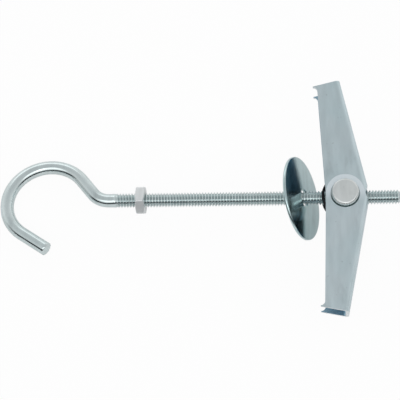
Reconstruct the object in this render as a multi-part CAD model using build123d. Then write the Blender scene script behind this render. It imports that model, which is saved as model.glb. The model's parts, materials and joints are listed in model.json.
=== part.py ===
from build123d import *
import math
import os

# Spring toggle bolt with a round hook, lying as it comes to rest on a flat surface.
# Millimetres. Every piece is first built in the bolt's own frame: X runs along the rod away from the
# hook, the pin of the wings is the Z axis, and the wings spread along +Y and -Y. At the end the whole
# assembly is turned onto the plane through its three lowest points, which is Z = 0.

# Hook bolt
THREAD_DIAMETER = 5.0
THREAD_LENGTH = 101.6
THREAD_END_CHAMFER = 0.7
WIRE_DIAMETER = 4.8
WIRE_EDGE_BREAK = 0.25
PLAIN_SHANK = 1.9          # straight wire between the thread and the neck bend
NECK_RADIUS = 7.5          # centreline radius of the bend that leads out of the rod's line
HOOK_RADIUS = 14.9         # centreline radius of the hook's round
HOOK_REACH = 24.0          # from the start of the thread to the middle of the round
HOOK_DROP = 0.7            # how far the middle of the round lies below the rod's line
HOOK_END_ANGLE = 236.0     # where the round ends, counted from the rod's direction
HOOK_TAIL = 11.5           # straight end of the wire
HOOK_ROLL = -16.0          # turn of the hook's plane about the rod, from the plane of the wings

# Hexagon nut
NUT_ACROSS_FLATS = 9.5
NUT_THICKNESS = 3.1
NUT_CHAMFER = 0.75         # how far the turned chamfer cuts in at the corners
NUT_CHAMFER_HEIGHT = 0.45
NUT_FROM_THREAD_START = 9.7
NUT_ROLL = 14.5            # turn of the nut about the rod, from a corner that points along Y

# Dished washer
WASHER_DIAMETER = 30.0
WASHER_PLAY = 0.9          # by which its hole is wider than the thread
WASHER_THICKNESS = 1.0
WASHER_DISH = 0.8          # depth of the dish, whose hollow side faces the hook
WASHER_EDGE = 0.3
WASHER_FROM_PIN = 14.7

# Barrel nut: the turned pin that carries the wings and takes the thread through its middle
BARREL_END_DIAMETER = 9.6
BARREL_DIAMETER = 12.0
BARREL_LENGTH = 19.1
BARREL_END_ROUND = 1.0
PIN_FROM_ROD_END = 19.2

# Wings: two equal folded channels
SHEET = 1.2
WING_WIDTH = 13.3          # over the two walls
WING_LENGTH = 41.7         # from the pin's axis to the tip of the web
EAR_RADIUS = 6.7           # also the distance of the open edges from the pin's axis
WEB_AT_ROOT = 8.0          # from the pin's axis to the outside of the web, at its root
WEB_TAPER = 9.5            # degrees by which the web closes on the open edges
BEND_RADIUS = 2.0          # outside of the fold
TOOTH_REACH = 1.5
TOOTH_FLAT = 0.3           # blunt point of the tooth
TOOTH_ROOT = 1.4           # from there down to where the scoop runs into the open edge
TOOTH_ROUND = 1.6          # radius of the scoop
REAR_LEAN = 4.0            # degrees by which a wing at rest leans towards the hook
FRONT_LEAN = 1.0

# Torsion spring: a double wire form around the barrel
SPRING_WIRE = 1.0
SPRING_RADIUS = 6.9        # centreline radius of its round
SPRING_OFFSET = 0.9        # how far the round's middle lies towards the hook
SPRING_ROUND_END = 80.0    # half of the angle that the round leaves open on the side of the rod's end
SPRING_BEND = 1.6
SPRING_LEG = 18.0          # how far its legs reach along the wings

# Clearances
THREAD_GAP = 0.04          # radial, of what runs on the thread
PIN_GAP = 0.06             # radial, of the wings on the barrel's ends
SIDE_GAP = 0.15            # between one wing's ear and its neighbour
SPRING_GAP = 0.1
SHOULDER_GAP = 0.1         # between the barrel's thick middle and the walls beside it

THREAD_RADIUS = THREAD_DIAMETER / 2
WASHER_HOLE = THREAD_DIAMETER + WASHER_PLAY
PIN_FROM_THREAD_START = THREAD_LENGTH - PIN_FROM_ROD_END
THREAD_START = Vector(-PIN_FROM_THREAD_START, 0, 0)
ROD_AXIS = Axis((0, 0, 0), (1, 0, 0))
EAR_STEP = SHEET + SIDE_GAP            # one wing lies this much higher on the pin than the other
WALL_INSIDE = WING_WIDTH / 2 - SHEET - EAR_STEP / 2
WEB_ROOT = THREAD_RADIUS + SIDE_GAP    # the web's root edge stands just clear of the rod: the open stop
FAR = 4 * THREAD_LENGTH


def polar(radius, degrees):
    angle = math.radians(degrees)
    return Vector(radius * math.cos(angle), radius * math.sin(angle))


def cylinder_along_x(diameter, start, end):
    return extrude(Plane.YZ.offset(start) * Circle(diameter / 2), end - start)


def make_hook_bolt():
    """The rod and the hook, bent from one wire. The neck and the round are two circles that turn
    opposite ways, and the wire between them is the straight line that touches both."""
    neck = Vector(-PLAIN_SHANK, NECK_RADIUS)
    middle = Vector(-HOOK_REACH, -HOOK_DROP)
    across = neck - middle
    heading = math.degrees(math.atan2(across.Y, across.X))
    start_angle = heading + math.degrees(math.acos((HOOK_RADIUS + NECK_RADIUS) / across.length))
    leave = polar(1, HOOK_END_ANGLE + 90)
    round_start = middle + polar(HOOK_RADIUS, start_angle)
    round_end = middle + polar(HOOK_RADIUS, HOOK_END_ANGLE)
    neck_end = neck - polar(NECK_RADIUS, start_angle)
    path = Wire([
        Line((0, 0), (-PLAIN_SHANK, 0)),
        CenterArc(neck, NECK_RADIUS, -90, start_angle - 90),
        Line(neck_end, round_start),
        CenterArc(middle, HOOK_RADIUS, start_angle, HOOK_END_ANGLE - start_angle),
        Line(round_end, round_end + leave * HOOK_TAIL),
    ])
    wire = sweep(Plane(origin=(0, 0, 0), z_dir=(-1, 0, 0)) * Circle(WIRE_DIAMETER / 2), path=path)
    tip = wire.faces().sort_by_distance(round_end + leave * HOOK_TAIL)[0]
    wire = chamfer(tip.edges(), WIRE_EDGE_BREAK)
    rod = cylinder_along_x(THREAD_DIAMETER, 0, THREAD_LENGTH)
    rod_ends = rod.edges().filter_by(GeomType.CIRCLE).sort_by(Axis.X)
    rod = chamfer(rod_ends[-1], THREAD_END_CHAMFER)
    bolt = (wire + rod).rotate(ROD_AXIS, HOOK_ROLL)
    return bolt.moved(Location(THREAD_START))


def make_hex_nut():
    middle = NUT_FROM_THREAD_START - PIN_FROM_THREAD_START
    hexagon = RegularPolygon(NUT_ACROSS_FLATS / 2, 6, major_radius=False, rotation=90)
    nut = extrude(Plane.YZ.offset(middle) * hexagon, NUT_THICKNESS / 2, both=True)
    across_corners = NUT_ACROSS_FLATS / math.cos(math.radians(30))
    turned = cylinder_along_x(across_corners, middle - NUT_THICKNESS / 2, middle + NUT_THICKNESS / 2)
    turned = chamfer(turned.edges().filter_by(GeomType.CIRCLE), NUT_CHAMFER_HEIGHT, NUT_CHAMFER)
    bore_diameter = THREAD_DIAMETER + 2 * THREAD_GAP
    bore = cylinder_along_x(bore_diameter, middle - NUT_THICKNESS, middle + NUT_THICKNESS)
    return (nut & turned - bore).rotate(ROD_AXIS, NUT_ROLL)


def washer_lean():
    """Degrees by which the washer can lean before both edges of its hole touch the rod."""
    reach = math.hypot(WASHER_HOLE, WASHER_THICKNESS)
    return math.degrees(math.acos((THREAD_DIAMETER + 2 * THREAD_GAP) / reach)
                        - math.atan2(WASHER_THICKNESS, WASHER_HOLE))


def make_washer():
    """A slice of a hollow ball, with its axis along Z and its hollow side up."""
    rim = WASHER_DIAMETER / 2
    ball = (rim ** 2 + WASHER_DISH ** 2) / (2 * WASHER_DISH)
    top = WASHER_THICKNESS / 2
    shell = Pos(0, 0, ball + top) * (Sphere(ball + WASHER_THICKNESS) - Sphere(ball))
    washer = shell & Pos(0, 0, WASHER_DISH / 2) * Cylinder(rim, WASHER_DISH + 2 * WASHER_THICKNESS)
    washer = washer.solids().sort_by(Axis.Z)[0]
    washer = fillet(washer.edges().filter_by(lambda edge: edge.length > 3 * rim), WASHER_EDGE)
    return washer - Cylinder(WASHER_HOLE / 2, 4 * WASHER_THICKNESS)


def make_barrel_nut():
    shoulder = WALL_INSIDE - SHOULDER_GAP
    barrel = Cylinder(BARREL_END_DIAMETER / 2, BARREL_LENGTH)
    barrel = fillet(barrel.edges().filter_by(GeomType.CIRCLE), BARREL_END_ROUND)
    barrel += Cylinder(BARREL_DIAMETER / 2, 2 * shoulder)
    return barrel - cylinder_along_x(THREAD_DIAMETER + 2 * THREAD_GAP, -BARREL_DIAMETER, BARREL_DIAMETER)


def web_outside(along):
    return WEB_AT_ROOT - (along - WEB_ROOT) * math.tan(math.radians(WEB_TAPER))


def wall_outline():
    """Side view of a wing that points along +Y: ear, web side, tip, tooth and open edge. The sheet is
    cut square to the web, so the tip slopes by the web's taper."""
    root = Vector(web_outside(WEB_ROOT), WEB_ROOT)
    touch = math.degrees(math.atan2(root.Y, root.X) - math.acos(EAR_RADIUS / root.length))
    ear_end = polar(EAR_RADIUS, touch)
    tip = Vector(web_outside(WING_LENGTH), WING_LENGTH)
    across = tip.X + EAR_RADIUS + TOOTH_REACH
    tooth = tip - Vector(across, across * math.tan(math.radians(WEB_TAPER)))
    scoop_top = tooth - Vector(0, TOOTH_FLAT)
    scoop_end = Vector(-EAR_RADIUS, scoop_top.Y - TOOTH_ROOT)
    return make_face([
        CenterArc((0, 0), EAR_RADIUS, 180, 180 + touch),
        Line(ear_end, root),
        Line(root, tip),
        Line(tip, tooth),
        Line(tooth, scoop_top),
        RadiusArc(scoop_top, scoop_end, TOOTH_ROUND),
        Line(scoop_end, (-EAR_RADIUS, 0)),
    ])


def fold_edges(solid, length):
    """The two long edges along which the sheet is folded: they lie on the web's side."""
    return [edge for edge in solid.edges().filter_by(GeomType.LINE)
            if edge.center().X > 0 and edge.length > 0.8 * length]


def make_wing():
    """A folded channel that points along +Y, on the lower place of the pin."""
    beyond = WING_LENGTH + WING_WIDTH
    slant = SHEET / math.cos(math.radians(WEB_TAPER))
    blank = extrude(wall_outline(), WING_WIDTH / 2, both=True)
    blank = fillet(fold_edges(blank, WING_LENGTH - WEB_ROOT), BEND_RADIUS)
    hollow = extrude(make_face(Polyline(
        (-beyond, WEB_ROOT), (web_outside(WEB_ROOT) - slant, WEB_ROOT),
        (web_outside(beyond) - slant, beyond), (-beyond, beyond), close=True)),
        WING_WIDTH / 2 - SHEET, both=True)
    hollow = fillet(fold_edges(hollow, beyond - WEB_ROOT), BEND_RADIUS - SHEET)
    hollow += Pos(0, WEB_ROOT - beyond / 2) * Box(4 * beyond, beyond, WING_WIDTH - 2 * SHEET)
    hole = Cylinder(BARREL_END_DIAMETER / 2 + PIN_GAP, 2 * WING_WIDTH)
    return (blank - hollow - hole).moved(Location((0, 0, -EAR_STEP / 2)))


def make_spring():
    """One wire: a leg on the front wing, round the barrel beside the rod, up to a bar across the rear
    wing, and back the same way on the rod's other side."""
    beside = THREAD_RADIUS + SPRING_WIRE / 2 + SPRING_GAP
    middle = Vector(-SPRING_OFFSET, 0)
    off_web = (SHEET + SPRING_GAP + SPRING_WIRE / 2) / math.cos(math.radians(WEB_TAPER))

    def leg(side, lean):
        """The end of the round, the bend and the end of the leg, for the wing on that side."""
        start = middle + polar(SPRING_RADIUS, side * SPRING_ROUND_END)
        leave = polar(1, side * (SPRING_ROUND_END - 90))
        foot = Vector(WEB_AT_ROOT - off_web, side * WEB_ROOT).rotate(Axis.Z, side * lean)
        along = polar(1, side * (90 + WEB_TAPER + lean))
        bend = start + leave * ((foot - start).cross(along).Z / leave.cross(along).Z)
        return [start, bend, foot + along * SPRING_LEG]

    def at(height, points):
        return [point + Vector(0, 0, height) for point in points]

    rear = leg(1, REAR_LEAN)
    front = leg(-1, FRONT_LEAN)
    rounds = [CenterArc(middle + Vector(0, 0, height), SPRING_RADIUS, SPRING_ROUND_END,
                        360 - 2 * SPRING_ROUND_END) for height in (beside, -beside)]
    stretches = [
        FilletPolyline(*at(beside, front[::-1]), radius=SPRING_BEND),
        rounds[0],
        FilletPolyline(*at(beside, rear), *at(-beside, rear[::-1]), radius=SPRING_BEND),
        rounds[1],
        FilletPolyline(*at(-beside, front), radius=SPRING_BEND),
    ]
    path = Wire([edge for stretch in stretches for edge in stretch.edges()])
    start = path.position_at(0)
    return sweep(Plane(origin=start, z_dir=path.tangent_at(0)) * Circle(SPRING_WIRE / 2), path=path)


def place_washer(washer, up):
    """The washer hangs on the rod by the edges of its hole, and its upper rim leans to the hook."""
    across = Vector(0, up.Y, up.Z).normalized()
    lean = math.radians(washer_lean())
    facing = Vector(math.cos(lean), 0, 0) + across * math.sin(lean)
    return washer.moved(Plane(origin=(-WASHER_FROM_PIN, 0, 0), z_dir=-facing).location)


def lowest_point(solid, up):
    floor = Face.make_rect(FAR, FAR, Plane(origin=up * -FAR, z_dir=up))
    return floor.closest_points(solid)[1]


def resting_plane(hook_bolt, washer, front_wing):
    """The plane under the hook, the leaning washer and the tip of the front wing. Each step finds the
    three points that are lowest over the last plane, and lays the next plane through them."""
    up = Vector(0, -0.2, 1).normalized()
    for _ in range(12):
        supports = [lowest_point(solid, up) for solid in (hook_bolt, place_washer(washer, up), front_wing)]
        up = (supports[2] - supports[0]).cross(supports[1] - supports[0]).normalized()
    return Plane(origin=supports[0], x_dir=Vector(1, 0, 0) - up * up.X, z_dir=up)


hook_bolt = make_hook_bolt()
wing = make_wing()
half_turn = Location((0, 0, 0), (180, 0, 0))
rear_wing = wing.moved(Location((0, 0, 0), (0, 0, REAR_LEAN)))
front_wing = wing.moved(Location((0, 0, 0), (0, 0, FRONT_LEAN))).moved(half_turn)
washer = make_washer()
floor = resting_plane(hook_bolt, washer, front_wing)

pieces = {
    "hook_bolt": hook_bolt,
    "hex_nut": make_hex_nut(),
    "washer": place_washer(washer, floor.z_dir),
    "barrel_nut": make_barrel_nut(),
    "torsion_spring": make_spring(),
    "rear_wing": rear_wing,
    "front_wing": front_wing,
}

# The resting frame: Z = 0 is the floor, X follows the rod, and the origin is in the middle of the
# whole part's length and width.
laid = {name: piece.moved(floor.location.inverse()) for name, piece in pieces.items()}
box = Compound(children=list(laid.values())).bounding_box()
centring = Location((-box.center().X, -box.center().Y, -box.min.Z))
resting = centring * floor.location.inverse()

os.makedirs("parts", exist_ok=True)
for name, piece in pieces.items():
    export_step(piece.moved(resting), f"parts/{name}.step")
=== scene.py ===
# %% [markdown]
# A spring toggle bolt is a hook and a threaded rod bent from one wire, with a nut, a dished washer and
# a pair of sprung wings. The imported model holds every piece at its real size. This lesson gives each
# piece its finish, and works out again, as smooth surfaces, the pieces whose beauty is in fine form:
# the rolled thread, the nut, the washer and the spring.

# %% Load the frame
import json
import math
import bmesh
import bpy
import numpy as np
from mathutils import Matrix, Vector


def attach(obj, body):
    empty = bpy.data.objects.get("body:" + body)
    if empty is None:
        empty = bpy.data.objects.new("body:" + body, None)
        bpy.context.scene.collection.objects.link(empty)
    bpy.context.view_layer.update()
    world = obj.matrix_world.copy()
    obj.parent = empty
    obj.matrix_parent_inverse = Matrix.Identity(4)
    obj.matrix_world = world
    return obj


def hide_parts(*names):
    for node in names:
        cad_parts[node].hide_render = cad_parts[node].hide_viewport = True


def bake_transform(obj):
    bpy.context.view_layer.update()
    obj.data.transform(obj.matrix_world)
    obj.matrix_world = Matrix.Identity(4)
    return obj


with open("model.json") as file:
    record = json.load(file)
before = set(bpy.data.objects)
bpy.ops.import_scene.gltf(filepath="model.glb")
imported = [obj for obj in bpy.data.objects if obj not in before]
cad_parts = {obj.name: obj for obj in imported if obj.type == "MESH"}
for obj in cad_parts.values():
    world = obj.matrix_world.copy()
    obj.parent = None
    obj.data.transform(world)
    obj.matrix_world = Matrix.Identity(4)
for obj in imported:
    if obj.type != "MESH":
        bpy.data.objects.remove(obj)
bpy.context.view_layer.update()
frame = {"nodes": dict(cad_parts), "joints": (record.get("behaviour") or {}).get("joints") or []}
MM = 0.001
print("nodes:", sorted(frame["nodes"]))

# %% [markdown]
# Everything on this object is set out from the rod and from the pin that the wings swing on. The frame
# states both: the wing's hinge gives the pin's place and direction, and the toggle's slide gives the
# rod's direction. Points are written in that bolt frame, x along the rod, y along the wings and z along
# the pin, in millimetres, and one function lays them into the scene.

# %% The bolt frame
joints = {joint["name"]: joint for joint in frame["joints"]}
PIN = np.array(joints["rear_wing_fold"]["pos_m"])
ALONG = np.array(joints["toggle_travel"]["axis"])
UP = np.array(joints["rear_wing_fold"]["axis"])
SIDE = np.cross(UP, ALONG)


def laid(points):
    """Bolt-frame millimetres to scene metres: the pin plus x, y and z steps along the three axes."""
    points = np.asarray(points, float)
    return PIN + MM * (points[..., 0:1] * ALONG + points[..., 1:2] * SIDE + points[..., 2:3] * UP)


print("pin at", np.round(PIN, 4), "rod along", np.round(ALONG, 3))

# %% [markdown]
# Every new surface here is a grid of rings. A row is one ring of points, and each face joins two
# neighbours in a row to the two below. A helper turns such a grid into a mesh, merges what meets at the
# seams and poles, and makes sure that the faces look outwards.

# %% Grid helpers
def mesh_from_grid(name, grid, closed_rows=False, shift=0, values=None):
    """grid[i, j] is ring i's point j, and rings close on themselves. With closed_rows the last ring
    joins the first. shift is how many rings a point has moved on after one turn, as on a screw.
    values maps an attribute's name to one number per point."""
    rings, around = grid.shape[:2]
    i, j = np.meshgrid(np.arange(rings if closed_rows else rings - 1), np.arange(around), indexing="ij")
    step = np.where(j == around - 1, shift, 0)
    after = (j + 1) % around
    lower, upper = i, i + 1
    if closed_rows:
        upper = upper % rings
    corners = [(lower, j), (upper, j), (upper + step, after), (lower + step, after)]
    faces = np.stack([a * around + b for a, b in corners], -1).reshape(-1, 4)
    faces = faces[((corners[2][0] < rings) & (corners[3][0] < rings)).reshape(-1)]
    mesh = bpy.data.meshes.new(name)
    mesh.vertices.add(rings * around)
    mesh.vertices.foreach_set("co", grid.reshape(-1).astype(np.float32))
    mesh.loops.add(faces.size)
    mesh.loops.foreach_set("vertex_index", faces.reshape(-1).astype(np.int32))
    mesh.polygons.add(len(faces))
    mesh.polygons.foreach_set("loop_start", np.arange(0, faces.size, 4, dtype=np.int32))
    for key, numbers in (values or {}).items():
        layer = mesh.attributes.new(key, "FLOAT", "POINT")
        layer.data.foreach_set("value", numbers.reshape(-1).astype(np.float32))
    mesh.update(calc_edges=True)
    mesh.validate()
    shell = bmesh.new()
    shell.from_mesh(mesh)
    bmesh.ops.remove_doubles(shell, verts=shell.verts, dist=2e-7)
    bmesh.ops.dissolve_degenerate(shell, edges=shell.edges, dist=1e-7)
    bmesh.ops.recalc_face_normals(shell, faces=shell.faces)
    shell.to_mesh(mesh)
    shell.free()
    return mesh


def add_piece(name, mesh, body, slot, *replaced, sharp=40):
    """A finished piece at the origin, smooth but for creases over sharp degrees, riding on its body."""
    piece = bpy.data.objects.new(name, mesh)
    bpy.context.scene.collection.objects.link(piece)
    mesh.polygons.foreach_set("use_smooth", np.ones(len(mesh.polygons), bool))
    mesh.set_sharp_from_angle(angle=math.radians(sharp))
    if body:
        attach(piece, body)
    if replaced:
        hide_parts(*replaced)
    print(name, len(mesh.polygons), "faces")
    return piece


# %% [markdown]
# The hook bolt starts as plain wire. One end is rolled between dies, which press a groove in and raise
# a crest beside it, and the other is bent round. A screw and a sweep could be joined, but a seam would
# show where they meet. Here one grid covers the whole wire from the rod's cut end to the hook's tip. Its
# rings climb as they go round, so a ring follows the helix of the thread exactly, and the groove is
# only a change of radius from one ring to the next.

# %% The wire's route
THREAD_LENGTH = 101.6
THREAD_RADIUS = 2.5
PITCH = 1.058
THREAD_DEPTH = 0.56
END_CHAMFER = 0.7
ROD_END = 19.2
WIRE_RADIUS = 2.4
SHANK = 1.9
NECK_RADIUS = 7.5
HOOK_RADIUS = 14.9
HOOK_REACH = 24.0
HOOK_DROP = 0.7
HOOK_END_ANGLE = math.radians(236.0)
HOOK_TAIL = 11.5
HOOK_ROLL = math.radians(-16.0)

# The neck and the round are two arcs that a straight stretch touches on opposite sides.
reach = HOOK_REACH - SHANK
rise = NECK_RADIUS + HOOK_DROP
between = math.hypot(reach, rise)
leave_angle = math.atan2(rise, reach) + math.acos((HOOK_RADIUS + NECK_RADIUS) / between)
NECK_TURN = math.pi / 2 - leave_angle
ROUTE = [                                    # length and turn of each stretch, from the rod's end
    (THREAD_LENGTH + SHANK, 0.0),
    (NECK_RADIUS * NECK_TURN, -NECK_TURN),
    (math.sqrt(between ** 2 - (HOOK_RADIUS + NECK_RADIUS) ** 2), 0.0),
    (HOOK_RADIUS * (HOOK_END_ANGLE - leave_angle), HOOK_END_ANGLE - leave_angle),
    (HOOK_TAIL, 0.0),
]
WIRE_LENGTH = sum(length for length, _ in ROUTE)


def wire_route(travel):
    """Place and heading after some travel along the wire, in the hook's plane. Each stretch has an even
    curvature: its heading grows evenly, and its place is the integral of that heading."""
    place = np.zeros(travel.shape + (2,))
    heading = np.full(travel.shape, math.pi)
    start, start_heading, gone = np.array([ROD_END, 0.0]), math.pi, 0.0
    for length, turn in ROUTE:
        here = np.clip(travel - gone, 0, length)
        bent = start_heading + turn * here / length
        if turn:
            radius = length / turn
            step = radius * np.stack([np.sin(bent) - math.sin(start_heading),
                                      math.cos(start_heading) - np.cos(bent)], -1)
            whole = radius * np.array([math.sin(start_heading + turn) - math.sin(start_heading),
                                       math.cos(start_heading) - math.cos(start_heading + turn)])
        else:
            ahead = np.array([math.cos(start_heading), math.sin(start_heading)])
            step, whole = here[..., None] * ahead, length * ahead
        reached = travel >= gone
        place = np.where(reached[..., None], start + step, place)
        heading = np.where(reached, bent, heading)
        start, start_heading, gone = start + whole, start_heading + turn, gone + length
    return place, heading


print("wire length", round(WIRE_LENGTH, 1), "mm, neck turns", round(math.degrees(NECK_TURN), 1), "degrees")

# %% [markdown]
# The thread is rolled, so its crests stand a little above the wire that they were pressed from, and the
# last turns fade out where the dies ended. Both are changes of radius with travel along the wire, and so
# are the chamfer on the rod's end, the broken edge of the hook's tip and the two flat caps.

# %% The wire's surface
ROWS_PER_TURN = 12
AROUND = 48
HOOK_STEP = 0.45                             # travel from row to row on the hook, in millimetres
CAP_ROWS = 4
CREST_END, ROOT_START = 0.12, 0.86           # shares of the way from crest to root that stay flat
FADING_TURNS = 2.2
TIP_EDGE = 0.22
TIP_CURVE = 0.6


def smooth(edge0, edge1, value):
    """0 below edge0, 1 above edge1, and an S-curve between them."""
    t = np.clip((value - edge0) / (edge1 - edge0), 0, 1)
    return t * t * (3 - 2 * t)


def hook_wire():
    """Row number plus a turn's worth of rows per turn gives travel along the wire, so rows are helices.
    Radius is the wire's, less the groove: none on the crest, full in the root, flanks between."""
    thread_rows = ROWS_PER_TURN * THREAD_LENGTH / PITCH
    rows = int(thread_rows + (WIRE_LENGTH - THREAD_LENGTH) / HOOK_STEP) + 2 * ROWS_PER_TURN + 2 * CAP_ROWS
    row = np.arange(rows)[:, None] - ROWS_PER_TURN - CAP_ROWS
    turn = np.arange(AROUND)[None, :] / AROUND
    step = row + ROWS_PER_TURN * turn
    last = thread_rows + (WIRE_LENGTH - THREAD_LENGTH) / HOOK_STEP
    travel = np.where(step < thread_rows, step * PITCH / ROWS_PER_TURN,
                      THREAD_LENGTH + (step - thread_rows) * HOOK_STEP)
    from_crest = np.abs((row % ROWS_PER_TURN) / ROWS_PER_TURN - 0.5) * 2 + 0 * turn
    groove = smooth(CREST_END, ROOT_START, from_crest)
    fading = smooth(THREAD_LENGTH + 0.3, THREAD_LENGTH - FADING_TURNS * PITCH, travel)
    swell = smooth(THREAD_LENGTH + 0.6, THREAD_LENGTH - 0.4, travel)
    radius = WIRE_RADIUS + (THREAD_RADIUS - WIRE_RADIUS) * swell - THREAD_DEPTH * groove * fading
    radius = np.minimum(radius, THREAD_RADIUS - END_CHAMFER + np.clip(travel, 0, None))
    to_tip = np.clip(WIRE_LENGTH - travel, 0, 1)
    radius = np.minimum(radius, WIRE_RADIUS - TIP_EDGE + np.sqrt(to_tip * TIP_CURVE))
    radius = radius * np.clip(1 + step / CAP_ROWS, 0, 1) * np.clip(1 + (last - step) / CAP_ROWS, 0, 1)
    place, heading = wire_route(np.clip(travel, 0, WIRE_LENGTH))
    angle = 2 * math.pi * turn + 0 * row
    across = radius * np.cos(angle)
    x = place[..., 0] - across * np.sin(heading)
    y = place[..., 1] + across * np.cos(heading)
    z = radius * np.sin(angle)
    turned = np.stack([x, y * math.cos(HOOK_ROLL) - z * math.sin(HOOK_ROLL),
                       y * math.sin(HOOK_ROLL) + z * math.cos(HOOK_ROLL)], -1)
    values = {"groove": groove * fading}
    return mesh_from_grid("hook_bolt_wire", laid(turned), shift=ROWS_PER_TURN, values=values)


hook = add_piece("threaded_hook", hook_wire(), "bolt", "bolt_zinc", "hook_bolt", sharp=60)

# %% [markdown]
# The nut could be cut from a cylinder with booleans, but their edges come out razor sharp. Here it is
# one closed profile carried round the rod. Its outline is the smaller of a hexagon and the cone that
# chamfers its corners, blended so that its edges have the small round of a tumbled part.

# %% The nut
NUT_FLATS = 9.5
NUT_THICKNESS = 3.1
NUT_CORNER = NUT_FLATS / 2 / math.cos(math.pi / 6)
NUT_FROM_THREAD_START = 9.7
NUT_MIDDLE = ROD_END - THREAD_LENGTH + NUT_FROM_THREAD_START
NUT_ROLL = math.radians(14.5)
NUT_CHAMFER = 0.75
NUT_CHAMFER_HEIGHT = 0.45
CORNER_ROUND = 0.12
CHAMFER_ROUND = 0.16
BORE_CHAMFER = 0.35
NUT_THREAD_DEPTH = 0.12


def soft_least(a, b, round_off):
    """The smaller of two lengths, with a rounded change from one to the other."""
    mix = np.clip(0.5 + 0.5 * (b - a) / round_off, 0, 1)
    return b * (1 - mix) + a * mix - round_off * mix * (1 - mix)


def nut_mesh():
    """A ring's profile goes out along one face, down the side and back, then up the threaded bore.
    Its outer radius is a hexagon's, soft-limited by the chamfer's cone."""
    around = 360
    angle = np.linspace(0, 2 * math.pi, around, endpoint=False)
    sector = (angle + math.pi / 6) % (math.pi / 3) - math.pi / 6
    blunt = np.full(around, NUT_CORNER - 0.1)
    hexagon = soft_least(NUT_FLATS / 2 / np.cos(sector), blunt, CORNER_ROUND)
    half = NUT_THICKNESS / 2
    side = half * np.sin(np.linspace(-math.pi / 2, math.pi / 2, 33))
    cone = NUT_CORNER - NUT_CHAMFER * (1 - np.clip((half - np.abs(side)) / NUT_CHAMFER_HEIGHT, 0, 2))
    outer = soft_least(hexagon[None, :], cone[:, None], CHAMFER_ROUND)
    bore = THREAD_RADIUS + 0.05
    rings = [(outer[k], np.full(around, side[k])) for k in range(len(side))]
    face = np.linspace(0, 1, 8)[1:]
    for t in face:
        rings.append((outer[-1] * (1 - t) + (bore + BORE_CHAMFER) * t, np.full(around, half)))
    inside = np.linspace(half - 0.3, -half + 0.3, 25)
    for z in inside:
        crest = NUT_THREAD_DEPTH * (1 - np.cos(2 * math.pi * (z / PITCH - angle / (2 * math.pi))))
        rings.append((bore + crest * 0.6, np.full(around, z)))
    for t in face[::-1]:
        rings.append((outer[0] * (1 - t) + (bore + BORE_CHAMFER) * t, np.full(around, -half)))
    radius = np.array([ring[0] for ring in rings])
    depth = np.array([ring[1] for ring in rings])
    turned = angle[None, :] + NUT_ROLL
    grid = np.stack([NUT_MIDDLE + depth, radius * np.cos(turned), radius * np.sin(turned)], -1)
    return mesh_from_grid("nut", laid(grid), closed_rows=True)


nut = add_piece("rod_nut", nut_mesh(), "nut", "nut_zinc", "hex_nut", sharp=50)

# %% [markdown]
# The washer is pressed from sheet into a shallow dish, and its hole has play on the thread, so it leans
# until both edges of the hole meet the rod. It is one closed profile carried round its own axis. The
# lean follows from the play: a longer hole or a wider one lets it tip further.

# %% The washer
WASHER_RADIUS = 15.0
WASHER_HOLE = 5.9
WASHER_THICKNESS = 1.0
WASHER_DISH = 0.8
WASHER_PLACE = -14.7
HOLE_GAP = 0.04
RIM_ROUND = 0.3
HOLE_CHAMFER = 0.12


def washer_axis():
    """The washer's axis: the rod's direction, leant upwards until the hole's two edges meet the rod."""
    upward = np.array([0, 0, 1.0])
    across = np.array([0, upward @ SIDE, upward @ UP])
    across /= np.linalg.norm(across)
    lean = (math.acos(2 * (THREAD_RADIUS + HOLE_GAP) / math.hypot(WASHER_HOLE, WASHER_THICKNESS))
            - math.atan2(WASHER_THICKNESS, WASHER_HOLE))
    return np.array([math.cos(lean), 0, 0]) + across * math.sin(lean)


def washer_mesh():
    """The profile runs out along the hollow side, round the rim, back along the other side and through
    the hole. Both sides follow one ball, so their height grows with the square of the radius, and the
    hollow side faces the hook."""
    around = 288
    hole, rim = WASHER_HOLE / 2, WASHER_RADIUS
    out = np.linspace(hole + HOLE_CHAMFER, rim - RIM_ROUND, 40)
    rise = WASHER_DISH / rim ** 2
    rim_turn = np.linspace(math.pi / 2, -math.pi / 2, 9)[1:-1]
    half = WASHER_THICKNESS / 2
    radius = np.concatenate([out, rim - RIM_ROUND + RIM_ROUND * np.cos(rim_turn), out[::-1], [hole, hole]])
    edge_height = np.sign(rim_turn) * (half - RIM_ROUND) + RIM_ROUND * np.sin(rim_turn)
    in_hole = [-half + HOLE_CHAMFER, half - HOLE_CHAMFER]
    height = np.concatenate([np.full(len(out), half), edge_height, np.full(len(out), -half), in_hole])
    height = height + rise * radius ** 2
    angle = np.linspace(0, 2 * math.pi, around, endpoint=False)
    axis = -washer_axis()
    first = np.cross(axis, [0, 1.0, 0])
    first /= np.linalg.norm(first)
    second = np.cross(axis, first)
    spoke = np.cos(angle)[:, None] * first + np.sin(angle)[:, None] * second
    grid = np.array([WASHER_PLACE, 0, 0]) + radius[:, None, None] * spoke + height[:, None, None] * axis
    return mesh_from_grid("washer", laid(grid), closed_rows=True)


washer = add_piece("dished_washer", washer_mesh(), "washer", "washer_zinc", "washer", sharp=50)
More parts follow.
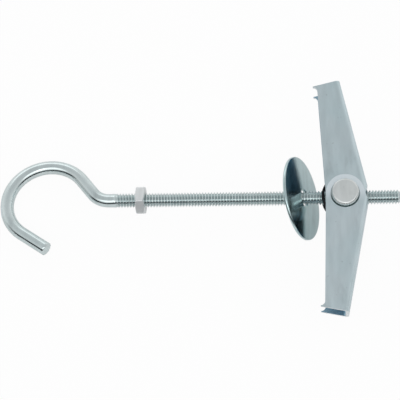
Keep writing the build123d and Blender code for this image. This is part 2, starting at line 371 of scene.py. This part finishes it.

# %% [markdown]
# The spring is one black wire that hugs the barrel beside the rod and sends two legs into each wing. When
# the wings fold it winds up, which a rigid piece can't do. Here it is drawn as three tubes that meet
# behind
# the barrel: the loop that runs into the rear wing, and the two legs in the front wing. Each follows the
# barrel as far as its round goes and its wing from its bend on, and turns in between, so that a leg
# lies inside its wing's channel at the wings' drawn lean. The tubes are attached to no body.

# %% The spring
SHEET = 1.2
WEB_AT_ROOT = 8.0
WEB_ROOT = THREAD_RADIUS + 0.15
WEB_TAPER = math.radians(9.5)
REAR_LEAN, FRONT_LEAN = math.radians(4.0), math.radians(1.0)
SPRING_WIRE = 1.0
SPRING_RADIUS = 6.9
SPRING_OFFSET = 0.9
SPRING_ROUND_END = math.radians(80.0)
SPRING_BEND = 1.6
SPRING_LEG = 18.0
SPRING_GAP = 0.1


def direction(angle):
    return np.array([math.cos(angle), math.sin(angle)])


def spring_corners(side, lean):
    """End of the round, bend and leg's end. The bend is where the round's tangent meets the line that
    runs a wire's radius inside the web of the leaning wing."""
    start = np.array([-SPRING_OFFSET, 0]) + SPRING_RADIUS * direction(side * SPRING_ROUND_END)
    leave = direction(side * (SPRING_ROUND_END - math.pi / 2))
    off_web = (SHEET + SPRING_GAP + SPRING_WIRE / 2) / math.cos(WEB_TAPER)
    foot = np.array([WEB_AT_ROOT - off_web, side * WEB_ROOT])
    turn = side * lean
    foot = np.array([foot[0] * math.cos(turn) - foot[1] * math.sin(turn),
                     foot[0] * math.sin(turn) + foot[1] * math.cos(turn)])
    along = direction(side * (math.pi / 2 + WEB_TAPER + lean))
    cross = np.array([[leave[0], -along[0]], [leave[1], -along[1]]])
    bend = start + leave * np.linalg.solve(cross, foot - start)[0]
    return [start, bend, foot + along * SPRING_LEG]


def rounded(points, radius, steps=10):
    """A line through the points with each inner corner replaced by an arc: the arc starts a radius'
    tangent length before the corner, and a quadratic blend between tangents stands for it."""
    points = [np.asarray(point, float) for point in points]
    line = [points[0][None]]
    for before, corner, after in zip(points, points[1:], points[2:]):
        a, b = before - corner, after - corner
        a, b = a / np.linalg.norm(a), b / np.linalg.norm(b)
        reach = radius / math.tan(math.acos(np.clip(a @ b, -1, 1)) / 2)
        t = np.linspace(0, 1, steps)[:, None]
        line.append((1 - t) ** 2 * (corner + a * reach) + 2 * t * (1 - t) * corner
                    + t ** 2 * (corner + b * reach))
    line.append(points[-1][None])
    return np.concatenate(line)


def tube(name, line, radius, around=20):
    """A round carried along a line of points. The ring's first direction at each point is the last
    one's, made square to the new heading, so the tube doesn't twist. Both ends close on their centre."""
    ahead = np.gradient(line, axis=0)
    ahead /= np.linalg.norm(ahead, axis=1)[:, None]
    first = np.zeros_like(line)
    guide = np.array([0.3, 0.2, 0.93])
    for k, heading in enumerate(ahead):
        guide = guide - heading * (guide @ heading)
        guide = guide / np.linalg.norm(guide)
        first[k] = guide
    second = np.cross(ahead, first)
    angle = np.linspace(0, 2 * math.pi, around, endpoint=False)
    spoke = np.cos(angle)[:, None] * first[:, None] + np.sin(angle)[:, None] * second[:, None]
    rings = line[:, None] + radius * spoke
    ends = [line[:1, None] + 0 * spoke[:1], line[:1, None] + 0.8 * radius * spoke[:1], rings,
            line[-1:, None] + 0.8 * radius * spoke[-1:], line[-1:, None] + 0 * spoke[-1:]]
    return mesh_from_grid(name, laid(np.concatenate(ends)))


def spring_round(side, height):
    """Half of the round behind the barrel, from its middle to where the leg leaves."""
    angle = np.linspace(math.pi, side * SPRING_ROUND_END + (0 if side > 0 else 2 * math.pi), 24)
    return np.stack([-SPRING_OFFSET + SPRING_RADIUS * np.cos(angle), SPRING_RADIUS * np.sin(angle),
                     np.full(24, height)], -1)


def spring_piece(name, line):
    piece = add_piece(name, tube(name, line, SPRING_WIRE / 2), None, "spring_black", "torsion_spring")
    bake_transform(piece)
    return piece


beside = THREAD_RADIUS + SPRING_WIRE / 2 + SPRING_GAP
rear, front = spring_corners(1, REAR_LEAN), spring_corners(-1, FRONT_LEAN)
loop = [np.array([*point, height]) for height, points in ((beside, rear), (-beside, rear[::-1]))
        for point in points]
loop_line = np.concatenate([spring_round(1, beside)[:-1], rounded(loop, SPRING_BEND),
                            spring_round(1, -beside)[::-1][1:]])
springs = [spring_piece("spring_loop", loop_line)]
for label, height in (("upper", beside), ("lower", -beside)):
    leg = rounded([np.array([*point, height]) for point in front], SPRING_BEND)
    line = np.concatenate([spring_round(-1, height)[:-1], leg])
    springs.append(spring_piece(f"spring_leg_{label}", line))

# %% [markdown]
# The wings are pressed from sheet and folded, and the model has their exact form. What it lacks is the
# slight round that tumbling leaves on a sheared edge, and that round is what catches the light. A copy
# of the folded sheet, with its flat triangles merged back into whole faces, takes a fine Bevel.

# %% The wings and the barrel
CREASE = math.radians(35)
SHEET_EDGE = (0.9, 1.3)                      # how thick a sheared face may be, in millimetres
NARROW_STRIP = (0.9, 1.6)


def with_soft_edges(node, name, body, slot, width):
    """A merged copy of a node, whose edges sharper than 35 degrees are rounded by width. The face
    attribute "cut" marks sheared edges: faces upright to the sheet that are one sheet thick. "inside"
    marks the channel's inner faces, whose normals point at the middle of the piece."""
    mesh = frame["nodes"][node].data.copy()
    mesh.name = name
    mesh.materials.clear()
    shell = bmesh.new()
    shell.from_mesh(mesh)
    bmesh.ops.remove_doubles(shell, verts=shell.verts, dist=1e-6)
    bmesh.ops.dissolve_limit(shell, angle_limit=math.radians(0.6), verts=shell.verts, edges=shell.edges)
    bmesh.ops.recalc_face_normals(shell, faces=shell.faces)
    cut, inside = shell.faces.layers.float.new("cut"), shell.faces.layers.float.new("inside")
    places = np.array([corner.co for corner in shell.verts])
    middle = Vector((places.min(0) + places.max(0)) / 2)
    for face in shell.faces:
        heights = [Vector(UP) @ corner.co / MM for corner in face.verts]
        tall, narrow = max(heights) - min(heights), 2 * face.calc_area() / face.calc_perimeter() / MM
        upright = abs(Vector(UP) @ face.normal) < 0.1
        thin = SHEET_EDGE[0] < tall < SHEET_EDGE[1]
        strip = NARROW_STRIP[0] < narrow < NARROW_STRIP[1] and tall > 5
        face[cut] = upright and (thin or strip)
        face[inside] = (face.calc_center_median() - middle) @ face.normal < 0
    shell.to_mesh(mesh)
    shell.free()
    piece = add_piece(name, mesh, body, slot, node, sharp=35)
    bevel = piece.modifiers.new("soft edges", "BEVEL")
    bevel.width = width * MM
    bevel.segments = 2
    bevel.limit_method = "ANGLE"
    bevel.angle_limit = CREASE
    bevel.use_clamp_overlap = True
    bevel.harden_normals = True
    return piece


wings = [with_soft_edges("rear_wing", "wing_rear", "rear_wing", "wing_zinc", 0.28),
         with_soft_edges("front_wing", "wing_front", "front_wing", "wing_zinc", 0.28)]
barrel = with_soft_edges("barrel_nut", "barrel", "barrel", "barrel_zinc", 0.1)

# %% [markdown]
# Bright zinc is a metal with a thin clear film on it. The film gives a cold, faintly blue-green tint that
# drifts over the surface, and the sheet's rolling marks, the die's marks and small scuffs break up the
# reflection. Three node groups carry what the finishes share: the drifting tint, the grain and the
# bright rub on edges. Each finish then sets its own metal.

# %% Node helpers
def group_named(name, inputs, outputs):
    """An empty node group with float or colour sockets, and its input and output nodes."""
    group = bpy.data.node_groups.new(name, "ShaderNodeTree")
    for way, sockets in (("INPUT", inputs), ("OUTPUT", outputs)):
        for label, value in sockets.items():
            kind = "NodeSocketColor" if isinstance(value, tuple) else "NodeSocketFloat"
            socket = group.interface.new_socket(label, in_out=way, socket_type=kind)
            if way == "INPUT":
                socket.default_value = value
    return group, group.nodes.new("NodeGroupInput"), group.nodes.new("NodeGroupOutput")


def join(tree, *pairs):
    for source, target in pairs:
        tree.links.new(source, target)


def noise(tree, scale, detail=3.0, rough=0.55, stretch=None, turn=None):
    """Noise in Object coordinates, counted in repeats per metre, perhaps stretched along an axis."""
    coordinates = tree.nodes.new("ShaderNodeTexCoord")
    mapping = tree.nodes.new("ShaderNodeMapping")
    texture = tree.nodes.new("ShaderNodeTexNoise")
    texture.inputs["Scale"].default_value = scale
    texture.inputs["Detail"].default_value = detail
    texture.inputs["Roughness"].default_value = rough
    mapping.inputs["Scale"].default_value = stretch or (1, 1, 1)
    mapping.inputs["Rotation"].default_value = turn or (0, 0, 0)
    join(tree, (coordinates.outputs["Object"], mapping.inputs["Vector"]),
         (mapping.outputs["Vector"], texture.inputs["Vector"]))
    return texture.outputs["Fac"]


def remap(tree, value, low, high, to_low=0.0, to_high=1.0):
    node = tree.nodes.new("ShaderNodeMapRange")
    node.inputs["From Min"].default_value = low
    node.inputs["From Max"].default_value = high
    node.inputs["To Min"].default_value = to_low
    node.inputs["To Max"].default_value = to_high
    join(tree, (value, node.inputs["Value"]))
    return node.outputs["Result"]


def mixed(tree, fac, a, b, blend="MIX"):
    """Colour a to colour b by fac; each is a socket or a plain colour."""
    node = tree.nodes.new("ShaderNodeMix")
    node.data_type = "RGBA"
    node.blend_type = blend
    for socket, value in ((node.inputs["Factor"], fac), (node.inputs[6], a), (node.inputs[7], b)):
        if isinstance(value, bpy.types.NodeSocket):
            join(tree, (value, socket))
        else:
            socket.default_value = value
    return node.outputs[2]


def sums(tree, kind, a, b):
    node = tree.nodes.new("ShaderNodeMath")
    node.operation = kind
    for socket, value in zip(node.inputs, (a, b)):
        if isinstance(value, bpy.types.NodeSocket):
            join(tree, (value, socket))
        else:
            socket.default_value = value
    return node.outputs["Value"]


# %% [markdown]
# The tint is where zinc gets its age. The film is thicker in some places than in others, rolling draws
# faint streaks along the metal, and oil and handling leave smears and a few dark pits. Each is noise at
# its own scale, and together they multiply the metal's colour.

# %% The tint group
def tint_group():
    """Metal colour drifting towards the film's colour in soft clouds, with faint streaks and smears."""
    inputs = {"Metal": (0.7, 0.7, 0.7, 1), "Film": (0.6, 0.7, 0.7, 1), "Amount": 0.5}
    group, inside, out = group_named("Plating tint", inputs, {"Color": (0, 0, 0, 1)})
    clouds = remap(group, noise(group, 70, 2), 0.35, 0.65)
    streaks = remap(group, noise(group, 420, 2, 0.5, (1, 0.07, 1)), 0.35, 0.68, 0.95, 1.05)
    smears = remap(group, noise(group, 150, 4, 0.6, (1, 0.4, 1)), 0.56, 0.70, 1.0, 0.86)
    pits = remap(group, noise(group, 800, 2), 0.70, 0.76, 1.0, 0.78)
    marks = sums(group, "MULTIPLY", sums(group, "MULTIPLY", streaks, smears), pits)
    amount = sums(group, "MULTIPLY", clouds, inside.outputs["Amount"])
    film = mixed(group, amount, inside.outputs["Metal"], inside.outputs["Film"])
    mark_colour = group.nodes.new("ShaderNodeCombineColor")
    join(group, *[(marks, mark_colour.inputs[k]) for k in range(3)])
    join(group, (mixed(group, 1.0, film, mark_colour.outputs["Color"], "MULTIPLY"), out.inputs["Color"]))
    return group


# %% [markdown]
# Grain is too fine to be drawn as a shape, so it goes to a Bump node as a height. Long scuffs add a
# little to that height and to the roughness, which is what makes them show in a highlight.

# %% The grain group
def grain_group():
    """Fine grain and long scuffs as a height, and their trace in the roughness."""
    group, inside, out = group_named("Metal grain", {"Roughness": 0.3, "Spread": 0.1},
                                     {"Height": 0.0, "Roughness": 0.0})
    fine = noise(group, 5200, 3, 0.6)
    patches = noise(group, 260, 3, 0.5)
    scuffs = remap(group, noise(group, 700, 2, 0.5, (1, 0.06, 1), (0, 0, 0.35)), 0.62, 0.72)
    join(group, (sums(group, "ADD", fine, sums(group, "MULTIPLY", scuffs, 0.5)), out.inputs["Height"]))
    spread = sums(group, "MULTIPLY", sums(group, "SUBTRACT", patches, 0.5), inside.outputs["Spread"])
    scuffed = sums(group, "ADD", spread, sums(group, "MULTIPLY", scuffs, 0.06))
    join(group, (sums(group, "ADD", scuffed, inside.outputs["Roughness"]), out.inputs["Roughness"]))
    return group


# %% [markdown]
# Handling rubs plating bright on outward edges. Pointiness finds them where the mesh is fine, as on the
# wire and the nut. It fails on large flat faces, so the wings and barrel leave this group out.

# %% The edge group
def edge_group():
    """A mask that is strong on outward edges, where handling has rubbed the plating bright."""
    group, inside, out = group_named("Edge rub", {"Amount": 0.5}, {"Mask": 0.0})
    geometry = group.nodes.new("ShaderNodeNewGeometry")
    rub = remap(group, geometry.outputs["Pointiness"], 0.52, 0.6)
    broken = remap(group, noise(group, 900, 3), 0.3, 0.6, 0.5, 1.0)
    join(group, (sums(group, "MULTIPLY", sums(group, "MULTIPLY", rub, broken), inside.outputs["Amount"]),
                 out.inputs["Mask"]))
    return group


TINT, GRAIN, EDGE = tint_group(), grain_group(), edge_group()
print("groups:", TINT.name, GRAIN.name, EDGE.name)

# %% [markdown]
# A finish is a metal colour, the film's colour over it, a roughness, and how strongly grain and rub
# show. One function builds every zinc from those values. On the bolt, the thread's grooves are painted
# darker, as painted shade in the roots.

# %% The zinc finish
BARE_EDGE = (0.93, 0.94, 0.94, 1)
# Painted shade: the dark colour in the thread's roots.
GROOVE_PAINTED_SHADE = (0.22, 0.29, 0.30, 1)
GROOVE_SHADE = 0.45
BUMP_DEPTH = 0.00005


def use_group(tree, group, **values):
    node = tree.nodes.new("ShaderNodeGroup")
    node.node_tree = group
    for label, value in values.items():
        node.inputs[label].default_value = value
    return node


def zinc(name, metal, film, amount, roughness, spread, bump, rub=0.5, groove=None):
    """Zinc plate over steel. groove names an attribute whose deep places get darker, as painted shade."""
    material = bpy.data.materials.new(name)
    material.use_nodes = True
    tree = material.node_tree
    shader = tree.nodes["Principled BSDF"]
    shader.inputs["Metallic"].default_value = 1.0
    tint = use_group(tree, TINT, Metal=(*metal, 1), Film=(*film, 1), Amount=amount)
    grain = use_group(tree, GRAIN, Roughness=roughness, Spread=spread)
    colour = tint.outputs["Color"]
    if rub:
        edge = use_group(tree, EDGE, Amount=rub)
        colour = mixed(tree, edge.outputs["Mask"], colour, BARE_EDGE)
    # Painted shade: the groove attribute darkens the thread's roots.
    if groove:
        deep = tree.nodes.new("ShaderNodeAttribute")
        deep.attribute_name = groove
        fac = sums(tree, "MULTIPLY", deep.outputs["Fac"], GROOVE_SHADE)
        colour = mixed(tree, fac, colour, GROOVE_PAINTED_SHADE)
    bump_node = tree.nodes.new("ShaderNodeBump")
    bump_node.inputs["Strength"].default_value = bump
    bump_node.inputs["Distance"].default_value = BUMP_DEPTH
    join(tree, (colour, shader.inputs["Base Color"]),
         (grain.outputs["Roughness"], shader.inputs["Roughness"]),
         (grain.outputs["Height"], bump_node.inputs["Height"]),
         (bump_node.outputs["Normal"], shader.inputs["Normal"]))
    return material


# %% [markdown]
# Where a wing swings on the barrel, the ear's land on the other wing's side gets a painted highlight, and
# a painted shadow stands as a dark line in the gap round the pin. Both are masks by distance from the
# pin's axis. The inside of the channel gets darker, bluer painted shade, and sheared edges a painted
# highlight.

# %% The wing finish
EAR_HOLE, EAR_LAND = 4.6, 6.9                # distances from the pin's axis, in millimetres
# Painted highlight: the colour that lightens the ear's land on the other wing's side.
LAND_HIGHLIGHT = (0.86, 0.94, 0.98, 1)
# Painted shadow: the dark colour in the gap round the pin.
PIN_GAP_SHADOW = (0.02, 0.05, 0.05, 1)
# Painted shade: the darker, bluer colour of the channel's inner faces.
INSIDE_SHADE = (0.24, 0.42, 0.54, 1)
# Painted highlight: the bright colour of the sheared edge faces, standing in for the light line along
# them.
SHEARED_EDGE_HIGHLIGHT = (0.90, 0.92, 0.93, 1)


def around_pin(tree, inner, outer, soft):
    """A mask for what lies between two distances from the pin's axis, in millimetres."""
    coordinates = tree.nodes.new("ShaderNodeTexCoord")
    from_pin = tree.nodes.new("ShaderNodeVectorMath")
    from_pin.operation = "SUBTRACT"
    from_pin.inputs[1].default_value = PIN
    across = tree.nodes.new("ShaderNodeVectorMath")
    across.operation = "CROSS_PRODUCT"
    across.inputs[1].default_value = UP
    length = tree.nodes.new("ShaderNodeVectorMath")
    length.operation = "LENGTH"
    join(tree, (coordinates.outputs["Object"], from_pin.inputs[0]),
         (from_pin.outputs["Vector"], across.inputs[0]), (across.outputs["Vector"], length.inputs[0]))
    distance = length.outputs["Value"]
    beyond = remap(tree, distance, inner * MM, (inner + soft) * MM)
    return sums(tree, "MULTIPLY", beyond, remap(tree, distance, outer * MM, (outer - soft) * MM))


def towards(tree, direction, start, end):
    """0 to 1 as a place goes from start to end millimetres from the pin along a direction."""
    coordinates = tree.nodes.new("ShaderNodeTexCoord")
    along = tree.nodes.new("ShaderNodeVectorMath")
    along.operation = "DOT_PRODUCT"
    along.inputs[1].default_value = direction
    join(tree, (coordinates.outputs["Object"], along.inputs[0]))
    zero = float(np.dot(PIN, direction))
    return remap(tree, along.outputs["Value"], zero + start * MM, zero + end * MM)


def wing_finish(name, other_side):
    """Zinc on folded sheet. The ear's land gets a painted highlight on the side of the other wing, a
    painted shadow sits in the slack of the hole on this wing's side, the channel's inside gets painted
    shade, and sheared edges get a bright painted highlight."""
    material = zinc(name, (0.62, 0.71, 0.74), (0.54, 0.67, 0.70), 0.6, 0.34, 0.08, 0.12, 0)
    tree = material.node_tree
    shader = tree.nodes["Principled BSDF"]
    colour = shader.inputs["Base Color"].links[0].from_socket
    # Painted highlight: the ear's land is lightened, on the other wing's side only.
    ear = around_pin(tree, EAR_HOLE, EAR_LAND, 0.15)
    land = sums(tree, "MULTIPLY", ear, towards(tree, other_side * SIDE, -3, 1))
    colour = mixed(tree, sums(tree, "MULTIPLY", land, 0.9), colour, LAND_HIGHLIGHT)
    # Painted shadow: a dark crescent in the gap on this wing's side and a thin dark line all round the
    # hole.
    gap = around_pin(tree, EAR_HOLE, 5.3, 0.2)
    slack = sums(tree, "MULTIPLY", gap, towards(tree, other_side * SIDE, 0.5, -2.5))
    line = sums(tree, "MULTIPLY", around_pin(tree, EAR_HOLE, 5.05, 0.1), 0.85)
    colour = mixed(tree, sums(tree, "MAXIMUM", slack, line), colour, PIN_GAP_SHADOW)
    # Painted shade on the channel's inner faces, and a painted highlight on the sheared edges.
    for mark, shade in (("inside", INSIDE_SHADE), ("cut", SHEARED_EDGE_HIGHLIGHT)):
        face = tree.nodes.new("ShaderNodeAttribute")
        face.attribute_name = mark
        colour = mixed(tree, sums(tree, "MULTIPLY", face.outputs["Fac"], 0.8), colour, shade)
    join(tree, (colour, shader.inputs["Base Color"]))
    return material


# %% [markdown]
# Spring wire is blackened in oil, not plated, so it has a finish of its own: nearly black, a little
# glossy, with a few worn spots where steel shows through.

# %% The spring's finish
def blackened():
    """Oil-blackened spring wire: dark, a little glossy, worn to steel in spots."""
    material = bpy.data.materials.new("blackened_wire")
    material.use_nodes = True
    tree = material.node_tree
    shader = tree.nodes["Principled BSDF"]
    shader.inputs["Metallic"].default_value = 0.6
    worn = remap(tree, noise(tree, 1500, 3), 0.6, 0.75, 0.0, 0.35)
    colour = mixed(tree, worn, (0.012, 0.013, 0.015, 1), (0.12, 0.12, 0.12, 1))
    rough = remap(tree, noise(tree, 3000, 2), 0.3, 0.7, 0.3, 0.48)
    join(tree, (colour, shader.inputs["Base Color"]), (rough, shader.inputs["Roughness"]))
    return material


# %% [markdown]
# Now each piece is dressed. The bolt and washer are the brightest plate, the nut and barrel the dullest,
# and the wings lie between. The rounded edges of a wing take a brighter, smoother zinc of their own.

# %% Dress the pieces
def dress(piece, *materials):
    piece.data.materials.clear()
    for material in materials:
        piece.data.materials.append(material)


bolt_zinc = zinc("bolt_zinc", (0.68, 0.75, 0.75), (0.58, 0.69, 0.70), 0.4, 0.15, 0.06, 0.08, 0.2, "groove")
dress(hook, bolt_zinc)
dress(nut, zinc("nut_zinc", (0.82, 0.84, 0.84), (0.76, 0.79, 0.81), 0.4, 0.44, 0.10, 0.2))
dress(washer, zinc("washer_zinc", (0.54, 0.66, 0.67), (0.46, 0.60, 0.62), 0.6, 0.16, 0.06, 0.1, 0))
dress(barrel, zinc("barrel_zinc", (0.74, 0.77, 0.76), (0.68, 0.72, 0.72), 0.4, 0.38, 0.10, 0.3, 0))
rubbed = zinc("wing_zinc_rubbed", (0.78, 0.84, 0.87), (0.66, 0.75, 0.79), 0.5, 0.28, 0.08, 0.1, 0)
dress(wings[0], wing_finish("wing_zinc_rear", -1.0), rubbed)
dress(wings[1], wing_finish("wing_zinc_front", 1.0), rubbed)
for wing in wings:
    wing.modifiers["soft edges"].material = 1
black = blackened()
for spring in springs:
    dress(spring, black)
print("finishes on", len(bpy.data.materials), "materials")

# %% [markdown]
# Plated metal shows its surroundings, so the studio is part of the finish. It is plain: a white floor
# and a pale tent. High in front the tent has a bright window, which draws the light line along the
# wire, and low in front it has a dark gap, which draws the thin dark line beside it. The floor looks
# white to the camera and gives the metal a little glow from below, and it still takes the shadow.

# %% Floor, light and camera
TENT_TOP = (0.60, 0.61, 0.62, 1)
TENT_WALL = (0.92, 0.92, 0.92, 1)
TENT_WINDOW = (1.5, 1.5, 1.5, 1)
TENT_GAP = (0.01, 0.015, 0.02, 1)
GAP_TOP = (0.46, 0.34)                       # heights between which the gap comes in, downwards
WINDOW_FOOT, WINDOW_HEAD = (0.54, 0.62), (0.91, 0.85)
FLOOR_SEEN = 0.95
FLOOR_MIRRORED = 0.25


def studio_floor():
    mesh = bpy.data.meshes.new("floor")
    mesh.from_pydata([(-3, -3, 0), (3, -3, 0), (3, 3, 0), (-3, 3, 0)], [], [(0, 1, 2, 3)])
    floor = bpy.data.objects.new("floor", mesh)
    bpy.context.scene.collection.objects.link(floor)
    material = bpy.data.materials.new("floor_white")
    material.use_nodes = True
    tree = material.node_tree
    shader = tree.nodes["Principled BSDF"]
    shader.inputs["Base Color"].default_value = (0.9, 0.9, 0.9, 1)
    shader.inputs["Roughness"].default_value = 0.9
    glow = tree.nodes.new("ShaderNodeEmission")
    path = tree.nodes.new("ShaderNodeLightPath")
    mix = tree.nodes.new("ShaderNodeMixShader")
    straight = sums(tree, "MULTIPLY", path.outputs["Is Camera Ray"], FLOOR_SEEN)
    mirrored = sums(tree, "MULTIPLY", path.outputs["Is Glossy Ray"], FLOOR_MIRRORED)
    seen = sums(tree, "ADD", straight, mirrored)
    join(tree, (seen, mix.inputs["Fac"]), (shader.outputs["BSDF"], mix.inputs[1]),
         (glow.outputs["Emission"], mix.inputs[2]),
         (mix.outputs["Shader"], tree.nodes["Material Output"].inputs["Surface"]))
    mesh.materials.append(material)


def studio_world():
    """Brightness by direction: an even pale tent, with a bright window high in front and a dark gap low
    down below it, where the tent is open and the room behind it is unlit. Height is the direction's z,
    and in front is its -y."""
    world = bpy.data.worlds.new("studio")
    bpy.context.scene.world = world
    world.use_nodes = True
    tree = world.node_tree
    background = tree.nodes["Background"]
    coordinates = tree.nodes.new("ShaderNodeTexCoord")
    parts = tree.nodes.new("ShaderNodeSeparateXYZ")
    join(tree, (coordinates.outputs["Generated"], parts.inputs["Vector"]))
    height, depth = parts.outputs["Z"], parts.outputs["Y"]
    gap = sums(tree, "MULTIPLY", remap(tree, depth, 0.1, -0.4), remap(tree, height, *GAP_TOP))
    band = sums(tree, "MULTIPLY", remap(tree, height, *WINDOW_FOOT), remap(tree, height, *WINDOW_HEAD))
    window = sums(tree, "MULTIPLY", band, remap(tree, depth, -0.28, -0.40))
    tent = mixed(tree, remap(tree, height, 0.2, 0.92), TENT_WALL, TENT_TOP)
    lit = mixed(tree, window, tent, TENT_WINDOW)
    join(tree, (mixed(tree, gap, lit, TENT_GAP), background.inputs["Color"]))


def soft_light(name, place, size, power, aim=(0, 0, 0.01)):
    lamp = bpy.data.lights.new(name, "AREA")
    lamp.shape = "RECTANGLE"
    lamp.size, lamp.size_y = size
    lamp.energy = power
    light = bpy.data.objects.new(name, lamp)
    bpy.context.scene.collection.objects.link(light)
    light.location = place
    light.rotation_euler = (Vector(aim) - Vector(place)).to_track_quat("-Z", "Y").to_euler()


CAMERA_TARGET = Vector((0.00067, -0.00218, 0.014))
CAMERA_TURN, CAMERA_RISE, CAMERA_ROLL = math.radians(-0.22), math.radians(63.91), math.radians(1.66)
CAMERA_DISTANCE = 0.5108
CAMERA_LENS = 130.15


def studio_camera():
    camera = bpy.data.objects.new("camera", bpy.data.cameras.new("camera"))
    bpy.context.scene.collection.objects.link(camera)
    right = Vector((math.cos(CAMERA_TURN), -math.sin(CAMERA_TURN), 0))
    level_share = math.cos(CAMERA_RISE)
    back = Vector((-math.sin(CAMERA_TURN) * level_share, -math.cos(CAMERA_TURN) * level_share,
                   math.sin(CAMERA_RISE)))
    up = back.cross(right)
    level, upright = right.copy(), up.copy()
    right = level * math.cos(CAMERA_ROLL) + upright * math.sin(CAMERA_ROLL)
    up = upright * math.cos(CAMERA_ROLL) - level * math.sin(CAMERA_ROLL)
    turned = Matrix((right, up, back)).transposed()
    camera.matrix_world = Matrix.Translation(CAMERA_TARGET + back * CAMERA_DISTANCE) @ turned.to_4x4()
    camera.data.lens = CAMERA_LENS
    camera.data.clip_start = 0.01
    bpy.context.scene.camera = camera


studio_floor()
studio_world()
soft_light("rear_box", (-0.35, 0.9, 0.55), (0.7, 0.4), 0.45)
soft_light("key", (0.0, -0.62, 0.78), (0.3, 0.12), 0.3)
studio_camera()
bpy.context.scene.view_settings.view_transform = "Standard"
print("studio ready")
